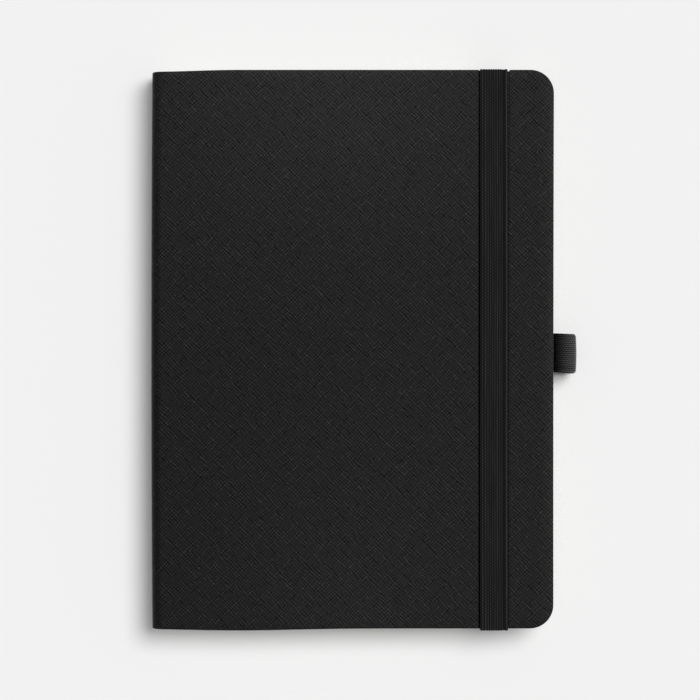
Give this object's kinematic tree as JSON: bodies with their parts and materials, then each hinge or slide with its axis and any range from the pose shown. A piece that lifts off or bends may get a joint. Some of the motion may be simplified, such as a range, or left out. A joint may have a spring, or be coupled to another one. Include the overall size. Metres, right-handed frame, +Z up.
{
  "type": "sketchbook",
  "caption": "Thread-sewn hard-cover sketchbook that opens flat, with turning leaves, a lengthwise elastic closure band and an elastic pen loop at the fore-edge.",
  "frame": {"origin": "centre of the back cover's outer face, which the book rests on", "axes": "+X from the spine to the fore-edge, +Y from the tail to the head, +Z up through the leaves to the front cover"},
  "size_m": [0.1635, 0.2158, 0.0172],
  "materials": {
    "cover": "matt cross-grained coated cloth",
    "board": "grey-brown bookbinder's board",
    "endpaper": "heavier uncoated paper",
    "paper": "uncoated drawing paper",
    "thread": "waxed thread",
    "lining": "open-weave lining cloth",
    "glue": "dried flexible glue",
    "headband": "woven cotton band",
    "elastic": "ribbed woven elastic"
  },
  "bodies": {
    "back_cover": {"back_cover_skin": "cover", "back_board": "board", "back_pastedown": "endpaper", "back_flyleaf": "endpaper", "section_01": "paper", "section_02": "paper", "section_03": "paper", "section_04": "paper", "section_05_back_half": "paper", "sewing_thread_back": "thread", "band_end_head": "elastic", "band_end_tail": "elastic", "pen_loop_tab": "elastic"},
    "spine": {"spine_skin": "cover", "spine_card": "board", "spine_mull": "lining", "spine_glue": "glue", "headband": "headband", "tailband": "headband", "centre_stitches": "thread"},
    "front_block": {"section_05_front_half": "paper", "section_06": "paper", "section_07": "paper", "section_08": "paper", "section_09": "paper", "sewing_thread_front": "thread"},
    "centre_leaf": {"centre_leaf": "paper"},
    "front_flyleaf": {"front_flyleaf": "endpaper"},
    "front_cover": {"front_cover_skin": "cover", "front_board": "board", "front_pastedown": "endpaper"},
    "closure_band": {"closure_band": "elastic"},
    "pen_loop": {"pen_loop": "elastic"}
  },
  "joints": [
    {"name": "spine_fold", "type": "hinge", "parent": "back_cover", "child": "spine", "pos_m": [-0.07594, 0, 0.00086], "axis": [0, 1, 0], "range_deg": [-90, 0]},
    {"name": "front_block_fold", "type": "hinge", "parent": "spine", "child": "front_block", "pos_m": [-0.07594, 0, 0.01552], "axis": [0, 1, 0], "range_deg": [-90, 0]},
    {"name": "centre_leaf_turn", "type": "hinge", "parent": "spine", "child": "centre_leaf", "pos_m": [-0.07415, 0, 0.00819], "axis": [0, 1, 0], "range_deg": [-45, 0]},
    {"name": "front_cover_hinge", "type": "hinge", "parent": "front_block", "child": "front_cover", "pos_m": [-0.07594, 0, 0.01552], "axis": [0, -1, 0], "range_deg": [0, 178]},
    {"name": "front_flyleaf_turn", "type": "hinge", "parent": "front_block", "child": "front_flyleaf", "pos_m": [-0.07594, 0, 0.01552], "axis": [0, -1, 0], "range_deg": [0, 158]},
    {"name": "closure_band_slide", "type": "slide", "parent": "back_cover", "child": "closure_band", "axis": [1, 0, 0], "range_m": [0, 0.03], "deforming": ["closure_band"]},
    {"name": "pen_loop_flex", "type": "hinge", "parent": "back_cover", "child": "pen_loop", "pos_m": [0.0769, -0.0017, 0.0021], "axis": [0, 1, 0], "range_deg": [-11, 15]}
  ],
  "couplings": [
    {"joint": "centre_leaf_turn", "follows": "front_block_fold", "ratio": 0.5},
    {"joint": "front_flyleaf_turn", "follows": "front_cover_hinge", "ratio": 0.85}
  ]
}
